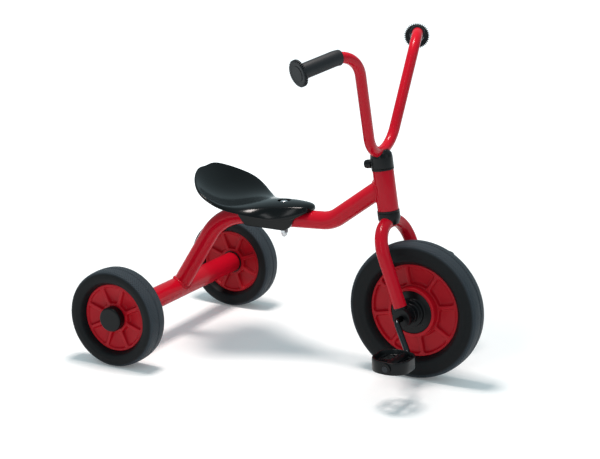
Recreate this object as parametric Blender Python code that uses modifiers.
"""Child's pedal tricycle, modelled as the separate pieces it is assembled from.

Frame: metres, +Z up, the front wheel towards -Y, the rider's left towards +X.
Origin: on the floor, under the middle of the tricycle's bounding box.
"""
import math

import bmesh
import bpy
from mathutils import Matrix, Vector

# Fits
GAP = 0.0003              # clearance between pieces that touch or seat
RUNNING = 0.0003          # radial clearance of a turning piece

# Layout
WHEELBASE = 0.498
TRACK = 0.4094            # between the centre planes of the rear wheels
REAR_TYRE_D = 0.180
FRONT_TYRE_D = 0.247
TYRE_WIDTH = 0.046

# Steering geometry, measured along and across the steering axis
HEAD_RAKE = math.radians(9.0)        # the axis leans back from vertical
FORK_OFFSET = 0.030                  # axle ahead of the axis
FORK_LENGTH = 0.1805                 # axle below the lower end of the head tube

# Head tube and its bushes
HEAD_TUBE_D = 0.038
HEAD_TUBE_WALL = 0.0025
HEAD_TUBE_LENGTH = 0.072
HEAD_JOINT_DROP = 0.0276             # main tube meets the axis, below the upper end
BUSH_FLANGE = 0.0035
BUSH_DEPTH = 0.018
STEERER_D = 0.028
STEERER_WALL = 0.002
STEERER_RISE = 0.0215                # above the head tube, inside the bar collar

# Main tube
MAIN_TUBE_D = 0.033
MAIN_TUBE_WALL = 0.002
DOWN_RUN = 0.1304                    # head axis to the bend in front of the saddle
DOWN_SLOPE = math.radians(36.9)
SEAT_SLOPE = math.radians(3.6)
STRUT_LEAN = math.radians(31.8)      # rear strut, from vertical
FRONT_BEND_R = 0.060
REAR_BEND_R = 0.100

# Rear axle
AXLE_TUBE_D = 0.040
AXLE_TUBE_WALL = 0.0025
AXLE_ROD_D = 0.012
PLUG_FLANGE_D = 0.044
PLUG_FLANGE = 0.0027
PLUG_DEPTH = 0.018
AXLE_WASHER_D = 0.024
AXLE_WASHER = 0.0015
AXLE_NUT_AF = 0.018
AXLE_NUT = 0.006
ROD_PAST_NUT = 0.001

# Wheels
RIM_WIDTH = 0.0194
REAR_RIM_D = 0.1242
FRONT_RIM_D = 0.1678
RIM_LIP = 0.0035                     # flat ring outside the pockets
RIB_COUNT = 8
RIB_WIDTH = 0.0042
POCKET_DEPTH = 0.0062
REAR_HUB_D = 0.052                   # flat ring inside the pockets
FRONT_HUB_D = 0.094
HUB_COLLAR_D = 0.0885                # collar round the front hub flange
HUB_COLLAR_REACH = 0.0128            # collar beyond the rim face
FRONT_RIB_PHASE = math.radians(32.0)
REAR_RIB_PHASES = {"left": math.radians(158.0), "right": math.radians(26.5)}
WHEEL_BUSH_WALL = 0.0032
WHEEL_BUSH_FLANGE = 0.0015
HUB_CAP_D = 0.045
HUB_CAP_HEIGHT = 0.0160
HUB_CAP_WALL = 0.003

# Fork
FORK_TUBE_D = 0.0235
FORK_TUBE_WALL = 0.002
ARCH_TOP = 0.0207                    # arch centre line below the head tube
ARCH_R = 0.050                       # bend radius at each shoulder
ARCH_HALF = 0.056                    # shoulders, from the middle
LEG_SPREAD = 0.053                   # leg centre line at the axle, from the middle
LEG_BEND = 0.0264                    # legs start to lean forward, below the head tube
LEG_CUT = 0.0188                     # leg ends above the axle
CROWN_COVER_D = 0.040
CROWN_COVER_DROP = 0.0255
HOUSING_D = 0.033
HOUSING_WIDTH = 0.022
NECK_D = 0.0205                      # between the housing and the fork end
SPIGOT_DEPTH = 0.012

# Front hub and crank
HUB_STEPS = ((0.0775, 0.0115), (0.0500, 0.0080), (0.0350, None))
CRANK_D = 0.0105
CRANK_LENGTH = 0.0569
CRANK_ANGLE = math.radians(36.4)     # near arm, forward of straight down
CRANK_SPLAY = 0.022                  # each pin's end of an arm, outside the axle's end
CRANK_BEND_R = 0.0110
CRANK_ARM_X = 0.082                  # each arm at the axle, from the middle
HOUSING_CLEARANCE = 0.0008

# Pedals
PEDAL_WIDTH = 0.0735                 # across the tricycle
PEDAL_LENGTH = 0.0675                # fore and aft
PEDAL_THICKNESS = 0.022
PEDAL_FLAT = 0.00525                 # half the straight stretch of the shorter side
PEDAL_SET_BACK = 0.0032              # middle of the block behind its barrel
PEDAL_WALL = 0.0042
PEDAL_DECK = 0.004
PEDAL_LEDGE = 0.0055                 # deck between the wall and the openings
PEDAL_RIB = 0.0080                   # deck between the openings, fore and aft
PEDAL_BARREL_D = 0.0175
PEDAL_BARREL_LEDGE = 0.0020          # deck beside the barrel
PEDAL_SIDE_GAP = 0.0025
RETAINER_D = 0.019
RETAINER = 0.003

# Handlebar
BAR_D = 0.0193
BAR_WALL = 0.002
BAR_SEAT = 0.0326                    # bottom of the U above the upper end of the head tube
BAR_LEAN = math.radians(12.7)        # the U leans forward from the steering axis
BAR_LEG_ANGLE = math.radians(22.6)   # each leg, out from the middle
BAR_RISE = 0.1975
BAR_HALF_SPREAD = 0.1189
BAR_BEND_R = 0.0566
HAND_RUN = 0.1249                    # corner to the outer face of the bar's end
HAND_SWEEP = math.radians(27.6)      # hand stretch, backwards
HAND_DROP = math.radians(9.3)        # hand stretch, downwards
COLLAR_D = 0.040
COLLAR_RISE = 0.035                  # above the upper end of the head tube
STEM_D = 0.0234
STEM_WALL = 0.002
STEM_DEPTH = 0.045
CLAMP_RISE = 0.0115                  # above the upper end of the head tube
CLAMP_SCREW_D = 0.008
CLAMP_HEAD_AF = 0.011
CLAMP_HEAD = 0.005
CLAMP_CAP_D = 0.0160
CLAMP_CAP = 0.0135

# Grips
GRIP_D = 0.0265
GRIP_FLANGE_D = 0.046
GRIP_FLANGE = 0.0055

# Saddle
SADDLE_LENGTH = 0.224                # nose to tail
SADDLE_WALL = 0.006
CRADLE_WALL = 0.0055                 # beside the main tube
SLOT_CLEARANCE = 0.0006              # between the cradle's legs and the main tube
BOLT_FROM_HEAD = 0.2092              # saddle bolt behind the head tube's lower end
SADDLE_BOLT_D = 0.008
SADDLE_HEAD_D = 0.016
SADDLE_HEAD = 0.0035
SADDLE_SEAT = 0.0285                 # bolt head's seat above the main tube's centre line
SADDLE_RECESS_D = 0.019
SADDLE_WASHER_D = 0.017
SADDLE_WASHER = 0.0022
CAP_NUT_AF = 0.013
CAP_NUT_HEX = 0.0068
CAP_NUT_DOME = 0.0095

# Faceting
TUBE_SIDES = 12
FRONT_STEPS = 40
REAR_STEPS = 32
HOUSING_STEPS = 24
ROUND_STEPS = 20
SMALL_STEPS = 16

# Heights and places that follow from the sizes above
FRONT_R = FRONT_TYRE_D / 2
REAR_R = REAR_TYRE_D / 2
OVERALL_LENGTH = REAR_R + WHEELBASE + FRONT_R
REAR_AXLE = Vector((0.0, OVERALL_LENGTH / 2 - REAR_R, REAR_R))
FRONT_AXLE = Vector((0.0, FRONT_R - OVERALL_LENGTH / 2, FRONT_R))
HEAD_AXIS = Vector((0.0, math.sin(HEAD_RAKE), math.cos(HEAD_RAKE)))
HEAD_BACK = Vector((0.0, math.cos(HEAD_RAKE), -math.sin(HEAD_RAKE)))
HEAD_BASE = FRONT_AXLE + HEAD_BACK * FORK_OFFSET + HEAD_AXIS * FORK_LENGTH
BAR_BASE = HEAD_TUBE_LENGTH + BAR_SEAT
COLLAR_TOP = HEAD_TUBE_LENGTH + COLLAR_RISE
CLAMP_HEIGHT = HEAD_TUBE_LENGTH + CLAMP_RISE
PEDAL_INNER_X = CRANK_ARM_X + CRANK_SPLAY + CRANK_BEND_R + PEDAL_SIDE_GAP
WHEEL_X = TRACK / 2
RIM_HALF = RIM_WIDTH / 2
TUBE_END_X = WHEEL_X - RIM_HALF - PLUG_FLANGE - 2 * GAP
QUARTER = math.pi / 2


def clear_scene():
    for item in list(bpy.data.objects):
        bpy.data.objects.remove(item, do_unlink=True)


def make_collection(name):
    collection = bpy.data.collections.new(name)
    bpy.context.scene.collection.children.link(collection)
    return collection


def make_material(name, colour, roughness, metallic=0.0):
    material = bpy.data.materials.new(name)
    material.use_nodes = True
    shader = material.node_tree.nodes["Principled BSDF"]
    shader.inputs["Base Color"].default_value = (*colour, 1.0)
    shader.inputs["Roughness"].default_value = roughness
    shader.inputs["Metallic"].default_value = metallic
    material.diffuse_color = (*colour, 1.0)
    return material


def make_empty(name, location, rotation=(0.0, 0.0, 0.0), parent=None):
    empty = bpy.data.objects.new(name, None)
    empty.empty_display_size = 0.03
    empty.location = location
    empty.rotation_euler = rotation
    empty.parent = parent
    parts.objects.link(empty)
    return empty


def place(item, parent=None, location=(0.0, 0.0, 0.0), rotation=(0.0, 0.0, 0.0)):
    item.parent = parent
    item.location = location
    item.rotation_euler = rotation
    return item


def add_object(name, mesh, finish=None):
    """Put a mesh in the scene: a finished piece, or a cutter when it has no finish."""
    item = bpy.data.objects.new(name, mesh)
    if finish is None:
        cutters.objects.link(item)
        item.hide_render = True
        item.display_type = "WIRE"
    else:
        parts.objects.link(item)
        mesh.materials.append(finish)
    return item


def turned(name, profile, steps, finish=None, closed=True):
    """Lathe a profile of (radius, height) about Z, its outer side running downwards."""
    bm = bmesh.new()
    half_step = math.pi / steps
    points = [
        bm.verts.new((radius * math.cos(half_step), radius * math.sin(half_step), height))
        for radius, height in profile
    ]
    for first, second in zip(points, points[1:]):
        bm.edges.new((first, second))
    if closed:
        bm.edges.new((points[-1], points[0]))
    mesh = bpy.data.meshes.new(name)
    bm.to_mesh(mesh)
    bm.free()
    item = add_object(name, mesh, finish)
    screw = item.modifiers.new("turn", "SCREW")
    screw.steps = steps
    screw.render_steps = steps
    screw.use_merge_vertices = True
    screw.merge_threshold = 0.00001
    screw.use_smooth_shade = False
    return item


def ring_profile(inner, outer, low, high):
    return [(outer, high), (outer, low), (inner, low), (inner, high)]


def disc(name, diameter, low, high, steps=SMALL_STEPS, finish=None):
    radius = diameter / 2
    profile = [(0.0, high), (radius, high), (radius, low), (0.0, low)]
    return turned(name, profile, steps, finish, closed=False)


def hexagon(name, across_flats, low, high, finish=None):
    """A six-sided bar about Z."""
    bm = bmesh.new()
    corner = across_flats / 2 / math.cos(math.pi / 6)
    bmesh.ops.create_cone(
        bm, cap_ends=True, segments=6, radius1=corner, radius2=corner, depth=high - low,
        matrix=Matrix.Translation((0.0, 0.0, (low + high) / 2)),
    )
    mesh = bpy.data.meshes.new(name)
    bm.to_mesh(mesh)
    bm.free()
    return add_object(name, mesh, finish)


def box(name, size, centre, finish=None):
    bm = bmesh.new()
    bmesh.ops.create_cube(bm, size=1.0, matrix=Matrix.Translation(centre) @ Matrix.Diagonal((*size, 1.0)))
    mesh = bpy.data.meshes.new(name)
    bm.to_mesh(mesh)
    bm.free()
    return add_object(name, mesh, finish)


def filleted(corners, radii, step=math.radians(10.0)):
    """Points along straight runs joined by arcs, one radius for each inner corner."""
    path = [Vector(corners[0])]
    for before, corner, after, radius in zip(corners, corners[1:], corners[2:], radii):
        corner = Vector(corner)
        into = (corner - Vector(before)).normalized()
        out = (Vector(after) - corner).normalized()
        turn = into.angle(out)
        tangent = radius * math.tan(turn / 2)
        start = corner - into * tangent
        inward = (out - into * into.dot(out)).normalized()
        centre = start + inward * radius
        count = max(2, math.ceil(turn / step))
        for index in range(count + 1):
            angle = turn * index / count
            path.append(centre + into * (radius * math.sin(angle)) - inward * (radius * math.cos(angle)))
    path.append(Vector(corners[-1]))
    return path


def swept(name, path, diameter, finish=None, wall=None, sides=TUBE_SIDES):
    """A round bar along a path, or a tube when it has a wall."""
    data = bpy.data.curves.new(name, "CURVE")
    data.dimensions = "3D"
    data.bevel_depth = diameter / 2
    data.bevel_resolution = (sides - 4) // 2
    data.use_fill_caps = wall is None
    spline = data.splines.new("POLY")
    spline.points.add(len(path) - 1)
    for point, place_on_path in zip(spline.points, path):
        point.co = (*place_on_path, 1.0)
    guide = bpy.data.objects.new(name + "_guide", data)
    bpy.context.scene.collection.objects.link(guide)
    bpy.context.view_layer.update()
    evaluated = guide.evaluated_get(bpy.context.evaluated_depsgraph_get())
    mesh = bpy.data.meshes.new_from_object(evaluated)
    bm = bmesh.new()
    bm.from_mesh(mesh)
    bmesh.ops.remove_doubles(bm, verts=bm.verts, dist=0.000001)
    bm.to_mesh(mesh)
    bm.free()
    mesh.name = name
    mesh.materials.clear()
    item = add_object(name, mesh, finish)
    item.matrix_world = guide.matrix_world.copy()
    bpy.data.objects.remove(guide, do_unlink=True)
    if wall is not None:
        shell = item.modifiers.new("wall", "SOLIDIFY")
        shell.thickness = wall
        shell.offset = -1.0
    return item


def outline(name, loops, thickness, finish=None):
    """A flat plate with the given closed loops, the first outside and the rest holes."""
    data = bpy.data.curves.new(name, "CURVE")
    data.dimensions = "2D"
    data.fill_mode = "BOTH"
    data.extrude = thickness / 2
    for loop in loops:
        spline = data.splines.new("POLY")
        spline.points.add(len(loop) - 1)
        for point, (x, y) in zip(spline.points, loop):
            point.co = (x, y, 0.0, 1.0)
        spline.use_cyclic_u = True
    guide = bpy.data.objects.new(name + "_guide", data)
    bpy.context.scene.collection.objects.link(guide)
    bpy.context.view_layer.update()
    evaluated = guide.evaluated_get(bpy.context.evaluated_depsgraph_get())
    mesh = bpy.data.meshes.new_from_object(evaluated)
    bm = bmesh.new()
    bm.from_mesh(mesh)
    bmesh.ops.remove_doubles(bm, verts=bm.verts, dist=0.000001)
    bm.to_mesh(mesh)
    bm.free()
    mesh.materials.clear()
    item = add_object(name, mesh, finish)
    bpy.data.objects.remove(guide, do_unlink=True)
    return item


def combine(item, tool, operation="DIFFERENCE"):
    boolean = item.modifiers.new(operation.lower(), "BOOLEAN")
    boolean.operation = operation
    boolean.solver = "EXACT"
    boolean.object = tool
    return item


def rounded_rectangle(width, length, radius, steps=5):
    points = []
    for sign_x, sign_y, start in ((1, 1, 0.0), (-1, 1, 0.25), (-1, -1, 0.5), (1, -1, 0.75)):
        centre_x = sign_x * (width / 2 - radius)
        centre_y = sign_y * (length / 2 - radius)
        for index in range(steps + 1):
            angle = 2 * math.pi * (start + 0.25 * index / steps)
            points.append((centre_x + radius * math.cos(angle), centre_y + radius * math.sin(angle)))
    return points


def tyre_profile(bead_r, tread_r, steps):
    """Section of a solid tyre: narrow at the bead, flat sides, round shoulders."""
    tread_r = tread_r / math.cos(math.pi / steps)
    height = tread_r - bead_r
    half = TYRE_WIDTH / 2
    side = [
        (tread_r, 0.38 * half),
        (tread_r - 0.06 * height, 0.74 * half),
        (tread_r - 0.22 * height, 0.96 * half),
        (bead_r + 0.50 * height, half),
        (bead_r + 0.20 * height, 0.88 * half),
        (bead_r, RIM_HALF),
    ]
    upper = [(radius, width) for radius, width in reversed(side)]
    lower = [(radius, -width) for radius, width in side]
    return upper + lower


def rim_profile(bore_r, rim_r, collar=None):
    """Half section of a wheel disc, with a raised collar on each face when one is given."""
    profile = [(rim_r, RIM_HALF), (rim_r, -RIM_HALF), (bore_r, -RIM_HALF), (bore_r, RIM_HALF)]
    if collar:
        inner, outer, reach = collar
        crest = RIM_HALF + reach
        low = [(outer + 0.0012, -RIM_HALF), (outer, -crest), (inner, -crest), (inner, -RIM_HALF)]
        high = [(radius, -height) for radius, height in reversed(low)]
        profile = profile[:2] + low + profile[2:] + high
    return profile


def make_rim(name, parent, profile, hub_d, steps, phase):
    """Moulded wheel disc: a ring of pockets between ribs, sunk in both faces."""
    rim = turned(name, profile, steps, red_plastic)
    diameter = 2 * profile[0][0]
    outer = diameter / 2 - RIM_LIP
    inner = hub_d / 2
    pitch = 2 * math.pi / RIB_COUNT
    bm = bmesh.new()
    arc_steps = 4
    for side in (1, -1):
        face = side * RIM_HALF
        floor = side * (RIM_HALF - POCKET_DEPTH)
        for pocket in range(RIB_COUNT):
            loops = []
            for height, draft in ((face + side * 0.002, 0.0), (floor, 0.0012)):
                loop = []
                for radius, order in ((outer - draft, range(arc_steps + 1)), (inner + draft, (2, 0))):
                    half = (RIB_WIDTH / 2 + draft) / radius
                    count = arc_steps if radius > inner + 2 * draft else 2
                    for index in order:
                        angle = phase + pocket * pitch + half + (pitch - 2 * half) * index / count
                        loop.append(bm.verts.new((radius * math.cos(angle), radius * math.sin(angle), height)))
                loops.append(loop)
            top, bottom = loops if side > 0 else (loops[1], loops[0])
            bm.faces.new(top)
            bm.faces.new(reversed(bottom))
            for index in range(len(top)):
                after = (index + 1) % len(top)
                bm.faces.new((top[index], bottom[index], bottom[after], top[after]))
    mesh = bpy.data.meshes.new(name + "_pockets")
    bm.to_mesh(mesh)
    bm.free()
    pockets = add_object(name + "_pockets", mesh)
    place(pockets, parent)
    combine(rim, pockets)
    return place(rim, parent)


def rear_wheel(side_name, side):
    """One rear wheel with its bush and cap; side is +1 on the rider's left."""
    hub = make_empty(
        "rear_wheel_" + side_name,
        (side * WHEEL_X, REAR_AXLE.y, REAR_AXLE.z),
        (0.0, side * QUARTER, 0.0),
    )
    rod_r = AXLE_ROD_D / 2
    bush_in = rod_r + RUNNING
    bush_out = bush_in + WHEEL_BUSH_WALL
    profile = rim_profile(bush_out + GAP, REAR_RIM_D / 2)
    make_rim("rear_rim_" + side_name, hub, profile, REAR_HUB_D, REAR_STEPS, REAR_RIB_PHASES[side_name])
    tyre = turned(
        "rear_tyre_" + side_name,
        tyre_profile(REAR_RIM_D / 2 + GAP, REAR_R, REAR_STEPS), REAR_STEPS, rubber,
    )
    place(tyre, hub)
    flange_r = bush_out + 0.004
    top = RIM_HALF + GAP + WHEEL_BUSH_FLANGE
    bush = turned(
        "wheel_bush_" + side_name,
        [
            (flange_r, top), (flange_r, RIM_HALF + GAP), (bush_out, RIM_HALF + GAP),
            (bush_out, -RIM_HALF), (bush_in, -RIM_HALF), (bush_in, top),
        ],
        SMALL_STEPS, nylon,
    )
    place(bush, hub)
    outer_r = HUB_CAP_D / 2
    inner_r = outer_r - HUB_CAP_WALL
    base = RIM_HALF + GAP
    crest = RIM_HALF + HUB_CAP_HEIGHT
    cap = turned(
        "hub_cap_" + side_name,
        [
            (0.0, crest), (outer_r - 0.0030, crest), (outer_r - 0.0008, crest - 0.0010),
            (outer_r, crest - 0.0035), (outer_r, base), (inner_r, base),
            (inner_r, crest - HUB_CAP_WALL), (0.0, crest - HUB_CAP_WALL),
        ],
        ROUND_STEPS, black_plastic, closed=False,
    )
    place(cap, hub)
    washer_low = top + GAP
    washer = turned(
        "axle_washer_" + side_name,
        ring_profile(rod_r + GAP, AXLE_WASHER_D / 2, washer_low, washer_low + AXLE_WASHER),
        SMALL_STEPS, zinc_steel,
    )
    place(washer, hub)
    nut_low = washer_low + AXLE_WASHER + GAP
    nut = hexagon("axle_nut_" + side_name, AXLE_NUT_AF, nut_low, nut_low + AXLE_NUT, zinc_steel)
    hole = disc("axle_nut_hole_" + side_name, AXLE_ROD_D + 2 * GAP, nut_low - 0.002, nut_low + AXLE_NUT + 0.002)
    place(hole, hub)
    combine(place(nut, hub), hole)
    return WHEEL_X + nut_low + AXLE_NUT + ROD_PAST_NUT


def main_tube_path():
    """Centre line from the head axis, under the saddle and down to the rear axle."""
    joint = HEAD_BASE + HEAD_AXIS * (HEAD_TUBE_LENGTH - HEAD_JOINT_DROP)
    down = Vector((0.0, math.cos(DOWN_SLOPE), -math.sin(DOWN_SLOPE)))
    front_bend = joint + down * DOWN_RUN
    level = Vector((0.0, math.cos(SEAT_SLOPE), -math.sin(SEAT_SLOPE)))
    strut = Vector((0.0, -math.sin(STRUT_LEAN), math.cos(STRUT_LEAN)))
    across = REAR_AXLE - front_bend
    determinant = level.z * strut.y - level.y * strut.z
    along = (across.z * strut.y - across.y * strut.z) / determinant
    rear_bend = front_bend + level * along
    path = filleted([joint, front_bend, rear_bend, REAR_AXLE], [FRONT_BEND_R, REAR_BEND_R])
    return path, front_bend, level


def build_frame():
    path, front_bend, level = main_tube_path()
    main_tube = swept("main_tube", path, MAIN_TUBE_D, red_paint, MAIN_TUBE_WALL)
    head_cutter = disc(
        "main_tube_head_mitre", HEAD_TUBE_D + 2 * GAP,
        -MAIN_TUBE_D, HEAD_TUBE_LENGTH + MAIN_TUBE_D, REAR_STEPS,
    )
    place(head_cutter, steering)
    axle_cutter = disc("main_tube_axle_mitre", AXLE_TUBE_D + 2 * GAP, -MAIN_TUBE_D, MAIN_TUBE_D, REAR_STEPS)
    place(axle_cutter, None, REAR_AXLE, (0.0, QUARTER, 0.0))
    combine(main_tube, head_cutter)
    combine(main_tube, axle_cutter)

    head_tube = turned(
        "head_tube",
        ring_profile(HEAD_TUBE_D / 2 - HEAD_TUBE_WALL, HEAD_TUBE_D / 2, 0.0, HEAD_TUBE_LENGTH),
        ROUND_STEPS, red_paint,
    )
    place(head_tube, head)

    axle_tube = turned(
        "rear_axle_tube",
        ring_profile(AXLE_TUBE_D / 2 - AXLE_TUBE_WALL, AXLE_TUBE_D / 2, -TUBE_END_X, TUBE_END_X),
        ROUND_STEPS, red_paint,
    )
    place(axle_tube, None, REAR_AXLE, (0.0, QUARTER, 0.0))

    barrel_r = HEAD_TUBE_D / 2 - HEAD_TUBE_WALL - GAP
    bore_r = STEERER_D / 2 + RUNNING
    flange_r = CROWN_COVER_D / 2
    for name, end, turn in (("head_bush_lower", 0.0, 0.0), ("head_bush_upper", HEAD_TUBE_LENGTH, math.pi)):
        bush = turned(
            name,
            [
                (barrel_r, BUSH_DEPTH), (barrel_r, -GAP), (flange_r, -GAP), (flange_r, -BUSH_FLANGE),
                (bore_r, -BUSH_FLANGE), (bore_r, BUSH_DEPTH),
            ],
            ROUND_STEPS, black_plastic,
        )
        place(bush, head, (0.0, 0.0, end), (turn, 0.0, 0.0))

    plug_bore = AXLE_ROD_D / 2 + GAP
    plug_r = AXLE_TUBE_D / 2 - AXLE_TUBE_WALL - GAP
    for side_name, side in (("left", 1), ("right", -1)):
        plug = turned(
            "axle_plug_" + side_name,
            [
                (PLUG_FLANGE_D / 2, PLUG_FLANGE + GAP), (PLUG_FLANGE_D / 2, GAP), (plug_r, GAP),
                (plug_r, -PLUG_DEPTH), (plug_bore, -PLUG_DEPTH), (plug_bore, PLUG_FLANGE + GAP),
            ],
            ROUND_STEPS, black_plastic,
        )
        place(plug, None, (side * TUBE_END_X, REAR_AXLE.y, REAR_AXLE.z), (0.0, side * QUARTER, 0.0))
    return main_tube, front_bend, level


def saddle_section(half, centre, rim, skirt, spread, wall):
    """Half outline of the saddle's shell at one station, from the top round to the underside."""
    fall = rim - centre
    return [
        (0.0, centre), (half * 0.50, centre + fall * 0.22), (half * 0.82, centre + fall * 0.66),
        (half, rim), (half + spread, skirt), (half + spread - wall, skirt),
        (half - wall, rim - wall), (half * 0.45, centre + fall * 0.18 - wall), (0.0, centre - wall),
    ]


def build_saddle(main_tube, front_bend, level):
    """Moulded saddle: dished and raised at the back, a humped nose, a cradle on the tube."""
    # From the nose back: distance behind the bolt, half width, then heights above the tube's centre line
    # of the middle, the rim and the skirt, and the skirt's spread, in 224ths of the saddle's length
    stations = (
        (-59.8, 6.0, 25.0, 24.0, 20.5, 1.0),
        (-56.3, 15.0, 30.5, 27.0, 19.5, 3.0),
        (-47.8, 22.5, 33.5, 28.0, 14.5, 4.0),
        (-31.8, 30.0, 34.5, 27.0, 5.0, 4.0),
        (-14.8, 35.0, 34.3, 26.5, 2.5, 6.0),
        (5.2, 38.5, 33.5, 25.5, 2.5, 8.5),
        (25.2, 43.0, 31.1, 23.5, 6.0, 13.0),
        (45.2, 50.0, 27.7, 22.0, 11.0, 16.0),
        (65.2, 66.0, 23.8, 23.0, 17.0, 13.0),
        (85.2, 87.0, 21.5, 31.0, 23.5, 2.0),
        (103.2, 94.0, 22.5, 42.0, 33.0, 0.0),
        (120.2, 93.5, 27.5, 51.5, 42.0, 0.0),
        (137.2, 84.5, 36.5, 61.0, 51.0, 0.0),
        (151.2, 68.0, 49.5, 70.0, 60.0, 0.0),
        (159.7, 46.0, 61.5, 75.3, 67.0, 0.0),
        (164.2, 20.0, 70.5, 77.0, 71.0, 0.0),
    )
    bolt_y = HEAD_BASE.y + BOLT_FROM_HEAD
    tube_z = front_bend.z + level.z / level.y * (bolt_y - front_bend.y)
    unit = SADDLE_LENGTH / (stations[-1][0] - stations[0][0])
    bm = bmesh.new()
    loops = []
    for behind, *sizes in stations:
        half = saddle_section(*sizes, SADDLE_WALL / unit)
        ring = half + [(-x, z) for x, z in reversed(half[1:-1])]
        loops.append([bm.verts.new((x * unit, bolt_y + behind * unit, tube_z + z * unit)) for x, z in ring])
    for near, far in zip(loops, loops[1:]):
        for index in range(len(near)):
            after = (index + 1) % len(near)
            bm.faces.new((near[index], far[index], far[after], near[after]))
    bm.faces.new(loops[0])
    bm.faces.new(reversed(loops[-1]))
    bmesh.ops.recalc_face_normals(bm, faces=bm.faces)
    mesh = bpy.data.meshes.new("saddle")
    bm.to_mesh(mesh)
    bm.free()
    saddle = add_object("saddle", mesh, black_gloss)
    smooth = saddle.modifiers.new("smooth", "SUBSURF")
    smooth.levels = 1
    smooth.render_levels = 1

    # Side view of the cradle that straddles the main tube, in the same units from the bolt and tube
    cradle_side = (
        (-51.8, 21.5), (-40.8, 12.5), (-30.3, 4.5), (-23.3, -10.5), (-10.8, -19.1), (70.2, -19.1),
        (78.2, -12.5), (89.2, 3.5), (94.2, 13.5), (80.2, 17.5), (55.2, 20.5), (25.2, 26.0),
        (0.2, 29.5), (-34.8, 29.5), (-46.8, 27.5), (-51.8, 24.5),
    )
    cradle_loop = [(bolt_y + y * unit, tube_z + z * unit) for y, z in cradle_side]
    cradle = outline("saddle_cradle", [cradle_loop], MAIN_TUBE_D + 2 * CRADLE_WALL)
    cradle.matrix_world = Matrix(((0, 0, 1, 0), (1, 0, 0, 0), (0, 1, 0, 0), (0, 0, 0, 1)))
    combine(saddle, cradle, "UNION")

    channel = swept("saddle_channel", main_tube_path()[0], MAIN_TUBE_D + 2 * GAP)
    combine(saddle, channel)
    slot = box(
        "saddle_slot", (MAIN_TUBE_D + 2 * SLOT_CLEARANCE, 2 * SADDLE_LENGTH, 2 * MAIN_TUBE_D),
        (0.0, bolt_y, tube_z - MAIN_TUBE_D),
    )
    combine(saddle, slot)

    seat_z = tube_z + SADDLE_SEAT
    tube_under = tube_z - MAIN_TUBE_D / 2 / math.cos(SEAT_SLOPE)
    recess = disc("saddle_recess", SADDLE_RECESS_D, seat_z, seat_z + MAIN_TUBE_D)
    place(recess, None, (0.0, bolt_y, 0.0))
    combine(saddle, recess)
    for target in (saddle, main_tube):
        hole = disc(
            target.name + "_bolt_hole", SADDLE_BOLT_D + 2 * GAP,
            tube_under - MAIN_TUBE_D, seat_z + MAIN_TUBE_D,
        )
        place(hole, None, (0.0, bolt_y, 0.0))
        combine(target, hole)

    washer_top = tube_under - GAP - 0.0006
    washer_low = washer_top - SADDLE_WASHER
    nut_top = washer_low - GAP
    nut_low = nut_top - CAP_NUT_HEX - CAP_NUT_DOME
    bolt_r = SADDLE_BOLT_D / 2
    head_r = SADDLE_HEAD_D / 2
    bolt_end = nut_top - CAP_NUT_HEX
    bolt = turned(
        "saddle_bolt",
        [
            (0.0, seat_z + GAP + SADDLE_HEAD), (head_r * 0.6, seat_z + GAP + SADDLE_HEAD * 0.85),
            (head_r, seat_z + GAP + 0.001), (head_r, seat_z + GAP), (bolt_r, seat_z + GAP),
            (bolt_r, bolt_end), (0.0, bolt_end),
        ],
        SMALL_STEPS, zinc_steel, closed=False,
    )
    place(bolt, None, (0.0, bolt_y, 0.0))
    washer = turned(
        "saddle_washer",
        ring_profile(bolt_r + GAP, SADDLE_WASHER_D / 2, washer_low, washer_top),
        SMALL_STEPS, zinc_steel,
    )
    place(washer, None, (0.0, bolt_y, 0.0))
    nut = hexagon("saddle_cap_nut", CAP_NUT_AF, nut_top - CAP_NUT_HEX, nut_top, zinc_steel)
    dome_r = CAP_NUT_AF / 2 * 0.96
    dome_top = nut_top - CAP_NUT_HEX + 0.001
    dome_profile = [(0.0, dome_top), (dome_r, dome_top)]
    for index in range(1, 5):
        angle = QUARTER * index / 5
        dome_profile.append((dome_r * math.cos(angle), dome_top - 0.001 - CAP_NUT_DOME * math.sin(angle)))
    dome_profile.append((0.0, nut_low))
    dome = turned("saddle_cap_nut_dome", dome_profile, 16, closed=False)
    place(dome, None, (0.0, bolt_y, 0.0))
    place(nut, None, (0.0, bolt_y, 0.0))
    combine(nut, dome, "UNION")
    nut_hole = disc("saddle_cap_nut_hole", SADDLE_BOLT_D + 2 * GAP, bolt_end - GAP, nut_top + 0.005)
    place(nut_hole, None, (0.0, bolt_y, 0.0))
    combine(nut, nut_hole)


def fork_path():
    """Arch over the wheel, in the steering frame, its legs leaning forward to the axle."""
    leg_end = -FORK_LENGTH + LEG_CUT
    slope = FORK_OFFSET / (FORK_LENGTH - LEG_BEND)
    shoulder = -ARCH_TOP
    spread_rate = (LEG_SPREAD - ARCH_HALF) / (FORK_LENGTH - ARCH_TOP)
    leg_x = LEG_SPREAD - spread_rate * (FORK_LENGTH + leg_end)
    flat = filleted(
        [(-leg_x, 0.0, leg_end), (-ARCH_HALF, 0.0, shoulder), (ARCH_HALF, 0.0, shoulder), (leg_x, 0.0, leg_end)],
        [ARCH_R, ARCH_R], math.radians(15.0),
    )
    middle_steps = 4
    dense = []
    for first, second in zip(flat, flat[1:]):
        long_run = abs(first.z - second.z) > 0.04
        count = middle_steps if long_run else 1
        for index in range(count):
            dense.append(first.lerp(second, index / count))
    dense.append(flat[-1])
    soft = 0.0055
    path = []
    for point in dense:
        below = -LEG_BEND - point.z
        lean = slope * (math.hypot(below, soft) + below) / 2
        path.append(Vector((point.x, -lean, point.z)))
    return path


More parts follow.
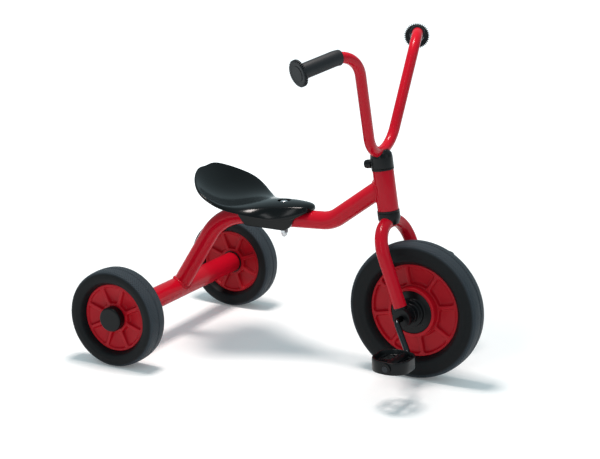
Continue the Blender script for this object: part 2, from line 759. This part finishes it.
def bar_path(extend=0.0):
    """Centre line of the handlebar in the steering frame."""
    up = Vector((0.0, -math.sin(BAR_LEAN), math.cos(BAR_LEAN)))
    base = Vector((0.0, 0.0, BAR_BASE))
    apex = base + up * (BAR_RISE - BAR_HALF_SPREAD / math.tan(BAR_LEG_ANGLE))
    base_r = (base - apex).length / (1 / math.sin(BAR_LEG_ANGLE) - 1)
    corners = []
    for side in (-1, 1):
        corner = base + up * BAR_RISE + Vector((side * BAR_HALF_SPREAD, 0.0, 0.0))
        corners.append((corner, corner + hand_direction(side) * (HAND_RUN - GRIP_FLANGE + extend)))
    (left, left_end), (right, right_end) = corners
    return filleted([left_end, left, apex, right, right_end], [BAR_BEND_R, base_r, BAR_BEND_R], math.radians(14.0))


def hand_direction(side):
    return Vector((
        side * math.cos(HAND_DROP) * math.cos(HAND_SWEEP),
        math.cos(HAND_DROP) * math.sin(HAND_SWEEP),
        -math.sin(HAND_DROP),
    ))


def build_steering():
    fork = swept("fork_tube", fork_path(), FORK_TUBE_D, red_paint, FORK_TUBE_WALL)
    place(fork, steering)
    arch_cutter = swept("arch_cutter", fork_path(), FORK_TUBE_D + 2 * GAP)
    place(arch_cutter, steering)

    steerer = turned(
        "steerer_tube",
        ring_profile(
            STEERER_D / 2 - STEERER_WALL, STEERER_D / 2,
            -ARCH_TOP - 0.004, HEAD_TUBE_LENGTH + STEERER_RISE,
        ),
        ROUND_STEPS, zinc_steel,
    )
    place(steerer, steering)
    combine(steerer, arch_cutter)

    cover_r = CROWN_COVER_D / 2
    cover_bore = STEERER_D / 2 + GAP
    cover = turned(
        "crown_cover",
        [
            (cover_r, -BUSH_FLANGE - GAP), (cover_r, -CROWN_COVER_DROP + 0.010),
            (cover_r - 0.004, -CROWN_COVER_DROP), (cover_bore, -CROWN_COVER_DROP),
            (cover_bore, -BUSH_FLANGE - GAP),
        ],
        ROUND_STEPS, black_plastic,
    )
    place(cover, steering)
    combine(cover, arch_cutter)

    bar = swept("handlebar", bar_path(), BAR_D, red_paint, BAR_WALL)
    place(bar, steering)
    bar_cutter = swept("bar_cutter", bar_path(GAP), BAR_D + 2 * GAP)
    place(bar_cutter, steering)

    steerer_top = HEAD_TUBE_LENGTH + STEERER_RISE
    stem = turned(
        "bar_stem",
        ring_profile(STEM_D / 2 - STEM_WALL, STEM_D / 2, BAR_BASE - STEM_DEPTH, BAR_BASE - 0.002),
        ROUND_STEPS, zinc_steel,
    )
    place(stem, steering)
    combine(stem, bar_cutter)

    collar_low = HEAD_TUBE_LENGTH + BUSH_FLANGE + GAP
    collar_r = COLLAR_D / 2
    wide = STEERER_D / 2 + GAP
    narrow = STEM_D / 2 + GAP
    collar = turned(
        "bar_collar",
        [
            (collar_r - 0.005, COLLAR_TOP), (collar_r - 0.001, COLLAR_TOP - 0.006),
            (collar_r, COLLAR_TOP - 0.012), (collar_r, collar_low), (wide, collar_low),
            (wide, steerer_top + GAP), (narrow, steerer_top + GAP), (narrow, COLLAR_TOP),
        ],
        ROUND_STEPS, black_plastic,
    )
    place(collar, steering)
    combine(collar, bar_cutter)

    screw_end = -STEM_D / 2 + STEM_WALL + 0.004
    for target in (collar, steerer, stem):
        hole = disc(target.name + "_screw_hole", CLAMP_SCREW_D + 2 * GAP, 0.0, collar_r + 0.01)
        place(hole, steering, (0.0, 0.0, CLAMP_HEIGHT), (-QUARTER, 0.0, 0.0))
        combine(target, hole)
    screw = disc("clamp_screw", CLAMP_SCREW_D, screw_end, collar_r + 0.002, 16, zinc_steel)
    place(screw, steering, (0.0, 0.0, CLAMP_HEIGHT), (-QUARTER, 0.0, 0.0))
    screw_head = hexagon("clamp_screw_head", CLAMP_HEAD_AF, collar_r + GAP, collar_r + GAP + CLAMP_HEAD)
    place(screw_head, steering, (0.0, 0.0, CLAMP_HEIGHT), (-QUARTER, 0.0, 0.0))
    combine(screw, screw_head, "UNION")
    cap_r = CLAMP_CAP_D / 2
    cap_low = collar_r + GAP
    cap_top = collar_r + CLAMP_CAP
    pocket_r = CLAMP_HEAD_AF / 2 / math.cos(math.pi / 6) + GAP
    cap = turned(
        "clamp_cap",
        [
            (0.0, cap_top), (cap_r * 0.55, cap_top - 0.0006), (cap_r * 0.9, cap_top - 0.0028),
            (cap_r, cap_top - 0.0060), (cap_r, cap_low), (pocket_r, cap_low),
            (pocket_r, cap_low + CLAMP_HEAD + GAP), (0.0, cap_low + CLAMP_HEAD + GAP),
        ],
        SMALL_STEPS, black_plastic, closed=False,
    )
    place(cap, steering, (0.0, 0.0, CLAMP_HEIGHT), (-QUARTER, 0.0, 0.0))
    build_grips(bar_cutter)
    build_housings()


def build_grips(bar_cutter):
    """Moulded grips: a sleeve that runs on into the bend, and a wide guard disc at the outer end."""
    path = bar_path(GRIP_FLANGE)
    barrel = GRIP_D / 2
    guard_r = GRIP_FLANGE_D / 2
    for side_name, side, reach in (("right", -1, path[:3]), ("left", 1, path[:-4:-1])):
        grip = swept("grip_" + side_name, reach, GRIP_D, rubber, sides=16)
        place(grip, steering)
        guard = turned(
            "guard_" + side_name,
            [
                (0.0, 0.0004), (guard_r - 0.0012, 0.0), (guard_r, -0.0018),
                (guard_r - 0.0006, -GRIP_FLANGE), (barrel + 0.0030, -GRIP_FLANGE - 0.0015),
                (barrel - 0.0010, -GRIP_FLANGE - 0.0040), (0.0, -GRIP_FLANGE - 0.0040),
            ],
            ROUND_STEPS, closed=False,
        )
        turn = Vector((0.0, 0.0, 1.0)).rotation_difference(hand_direction(side)).to_euler()
        place(guard, steering, reach[0], turn)
        combine(grip, guard, "UNION")
        combine(grip, bar_cutter)


def build_housings():
    """Bearing housings plugged into the fork ends, which carry the crank."""
    path = fork_path()
    for side_name, side, tip, above in (("right", -1, path[0], path[1]), ("left", 1, path[-1], path[-2])):
        axle = Vector((side * LEG_SPREAD, -FORK_OFFSET, -FORK_LENGTH))
        housing = disc(
            "crank_bearing_" + side_name, HOUSING_D,
            -HOUSING_WIDTH / 2, HOUSING_WIDTH / 2, HOUSING_STEPS, black_plastic,
        )
        place(housing, steering, axle, (0.0, QUARTER, 0.0))
        leg = (above - tip).normalized()
        neck_end = tip - leg * GAP
        neck = swept("neck_" + side_name, [axle, neck_end], NECK_D, sides=16)
        spigot_d = (FORK_TUBE_D - 2 * FORK_TUBE_WALL) * math.cos(math.pi / TUBE_SIDES) - 2 * GAP
        spigot = swept("spigot_" + side_name, [neck_end - leg * 0.004, tip + leg * SPIGOT_DEPTH], spigot_d, sides=16)
        bore = disc(
            "bearing_bore_" + side_name, CRANK_D + 2 * RUNNING,
            -HOUSING_WIDTH, HOUSING_WIDTH, HOUSING_STEPS,
        )
        place(bore, steering, axle, (0.0, QUARTER, 0.0))
        for piece in (neck, spigot):
            place(piece, steering)
            combine(housing, piece, "UNION")
        combine(housing, bore)


def crank_path():
    """One bent rod: pin, arm, axle, arm, pin, in the front wheel's own frame."""
    pin_start = CRANK_ARM_X + CRANK_SPLAY
    pin_x = PEDAL_INNER_X + PEDAL_WIDTH + 2 * GAP + RETAINER
    arm = Vector((0.0, -math.sin(CRANK_ANGLE), -math.cos(CRANK_ANGLE))) * CRANK_LENGTH
    corners = [
        Vector((-pin_x, 0.0, 0.0)) + arm, Vector((-pin_start, 0.0, 0.0)) + arm,
        Vector((-CRANK_ARM_X, 0.0, 0.0)), Vector((CRANK_ARM_X, 0.0, 0.0)),
        Vector((pin_start, 0.0, 0.0)) - arm, Vector((pin_x, 0.0, 0.0)) - arm,
    ]
    return filleted(corners, [CRANK_BEND_R] * 4, math.radians(22.5)), arm


def build_front_wheel():
    wheel = make_empty("front_wheel", FRONT_AXLE)
    turn = (0.0, QUARTER, 0.0)
    crank_r = CRANK_D / 2
    rim_frame = make_empty("front_rim_frame", (0.0, 0.0, 0.0), turn, wheel)
    collar = (HUB_STEPS[0][0] / 2 + GAP, HUB_COLLAR_D / 2, HUB_COLLAR_REACH)
    profile = rim_profile(crank_r + GAP, FRONT_RIM_D / 2, collar)
    make_rim("front_rim", rim_frame, profile, FRONT_HUB_D, FRONT_STEPS, FRONT_RIB_PHASE)
    tyre = turned(
        "front_tyre", tyre_profile(FRONT_RIM_D / 2 + GAP, FRONT_R, FRONT_STEPS), FRONT_STEPS, rubber,
    )
    place(tyre, rim_frame)
    for side_name, side in (("left", 1), ("right", -1)):
        base = RIM_HALF + GAP
        end = LEG_SPREAD - HOUSING_WIDTH / 2 - HOUSING_CLEARANCE
        profile = []
        height = base
        for diameter, thickness in HUB_STEPS:
            top = end if thickness is None else height + thickness
            profile = [(diameter / 2, top), (diameter / 2, height)] + profile
            height = top
        profile = profile + [(crank_r + GAP, base), (crank_r + GAP, end)]
        flange = turned("hub_flange_" + side_name, profile, ROUND_STEPS, black_plastic)
        place(flange, wheel, (0.0, 0.0, 0.0), (0.0, side * QUARTER, 0.0))

    path, arm = crank_path()
    crank = swept("crank_axle", path, CRANK_D, dark_steel, sides=12)
    place(crank, wheel)
    for side_name, side in (("left", 1), ("right", -1)):
        pin = -arm * side
        retainer = turned(
            "pedal_retainer_" + side_name,
            ring_profile(crank_r + GAP, RETAINER_D / 2, 0.0, RETAINER),
            SMALL_STEPS, zinc_steel,
        )
        retainer_x = side * (PEDAL_INNER_X + PEDAL_WIDTH + GAP)
        place(retainer, wheel, pin + Vector((retainer_x, 0.0, 0.0)), (0.0, side * QUARTER, 0.0))
        build_pedal(side_name, wheel, pin + Vector((side * (PEDAL_INNER_X + PEDAL_WIDTH / 2), 0.0, 0.0)))


def pedal_openings():
    """The four openings of a pedal's deck, between its wall, its barrel and the rib in the middle."""
    reach = PEDAL_WIDTH / 2 - PEDAL_WALL - PEDAL_LEDGE
    far = PEDAL_LENGTH / 2 - PEDAL_WALL - PEDAL_LEDGE
    across = reach - PEDAL_RIB / 2
    loops = []
    for sign_y in (1, -1):
        near = PEDAL_BARREL_D / 2 + PEDAL_BARREL_LEDGE - sign_y * PEDAL_SET_BACK
        opening = rounded_rectangle(across, far - near, (far - near) / 3, 3)
        middle_y = sign_y * (near + far) / 2
        for sign_x in (1, -1):
            middle_x = sign_x * (PEDAL_RIB / 2 + reach) / 2
            loops.append([(x + middle_x, y + middle_y) for x, y in opening])
    return loops


def build_pedal(side_name, wheel, centre):
    """Pedal block: a deep rounded wall round a sunk deck with four openings, a barrel across it."""
    corner = min(PEDAL_WIDTH, PEDAL_LENGTH) / 2 - PEDAL_FLAT
    outer = rounded_rectangle(PEDAL_WIDTH, PEDAL_LENGTH, corner)
    inner = rounded_rectangle(PEDAL_WIDTH - 2 * PEDAL_WALL, PEDAL_LENGTH - 2 * PEDAL_WALL, corner - PEDAL_WALL)
    middle = rounded_rectangle(PEDAL_WIDTH - PEDAL_WALL, PEDAL_LENGTH - PEDAL_WALL, corner - PEDAL_WALL / 2)
    block = centre + Vector((0.0, PEDAL_SET_BACK, 0.0))
    pedal = outline("pedal_" + side_name, [outer, inner], PEDAL_THICKNESS, black_plastic)
    place(pedal, wheel, block)
    deck = outline("pedal_deck_" + side_name, [middle], PEDAL_DECK)
    place(deck, wheel, block)
    openings = outline("pedal_openings_" + side_name, pedal_openings(), 2 * PEDAL_DECK)
    place(openings, wheel, block)
    combine(deck, openings)
    combine(pedal, deck, "UNION")
    barrel_half = PEDAL_WIDTH / 2 - PEDAL_WALL / 2
    barrel = disc("pedal_barrel_" + side_name, PEDAL_BARREL_D, -barrel_half, barrel_half, 16)
    place(barrel, wheel, centre, (0.0, QUARTER, 0.0))
    combine(pedal, barrel, "UNION")
    bore = disc("pedal_bore_" + side_name, CRANK_D + 2 * RUNNING, -PEDAL_WIDTH, PEDAL_WIDTH, 16)
    place(bore, wheel, centre, (0.0, QUARTER, 0.0))
    combine(pedal, bore)


clear_scene()
parts = make_collection("tricycle")
cutters = make_collection("tricycle_cutters")
red_paint = make_material("red_enamel", (0.62, 0.012, 0.018), 0.22)
red_plastic = make_material("red_moulded_plastic", (0.60, 0.010, 0.022), 0.42)
black_gloss = make_material("black_gloss_plastic", (0.012, 0.013, 0.015), 0.18)
black_plastic = make_material("black_plastic", (0.014, 0.015, 0.016), 0.38)
rubber = make_material("black_rubber", (0.018, 0.020, 0.022), 0.62)
nylon = make_material("black_nylon", (0.03, 0.03, 0.03), 0.45)
zinc_steel = make_material("zinc_plated_steel", (0.62, 0.63, 0.65), 0.30, 1.0)
dark_steel = make_material("dark_steel", (0.06, 0.065, 0.07), 0.32, 1.0)

head = make_empty("head_frame", HEAD_BASE, (-HEAD_RAKE, 0.0, 0.0))
steering = make_empty("steering_axis", HEAD_BASE, (-HEAD_RAKE, 0.0, 0.0))

frame_tube, bend_point, seat_line = build_frame()
build_saddle(frame_tube, bend_point, seat_line)
rod_half = 0.0
for wheel_side, wheel_sign in (("left", 1), ("right", -1)):
    rod_half = rear_wheel(wheel_side, wheel_sign)
axle_rod = disc("rear_axle_rod", AXLE_ROD_D, -rod_half, rod_half, SMALL_STEPS, zinc_steel)
place(axle_rod, None, REAR_AXLE, (0.0, QUARTER, 0.0))
build_steering()
build_front_wheel()
for piece in parts.objects:
    if piece.type == "MESH":
        piece.data.shade_smooth()
        piece.data.set_sharp_from_angle(angle=math.radians(32.0))
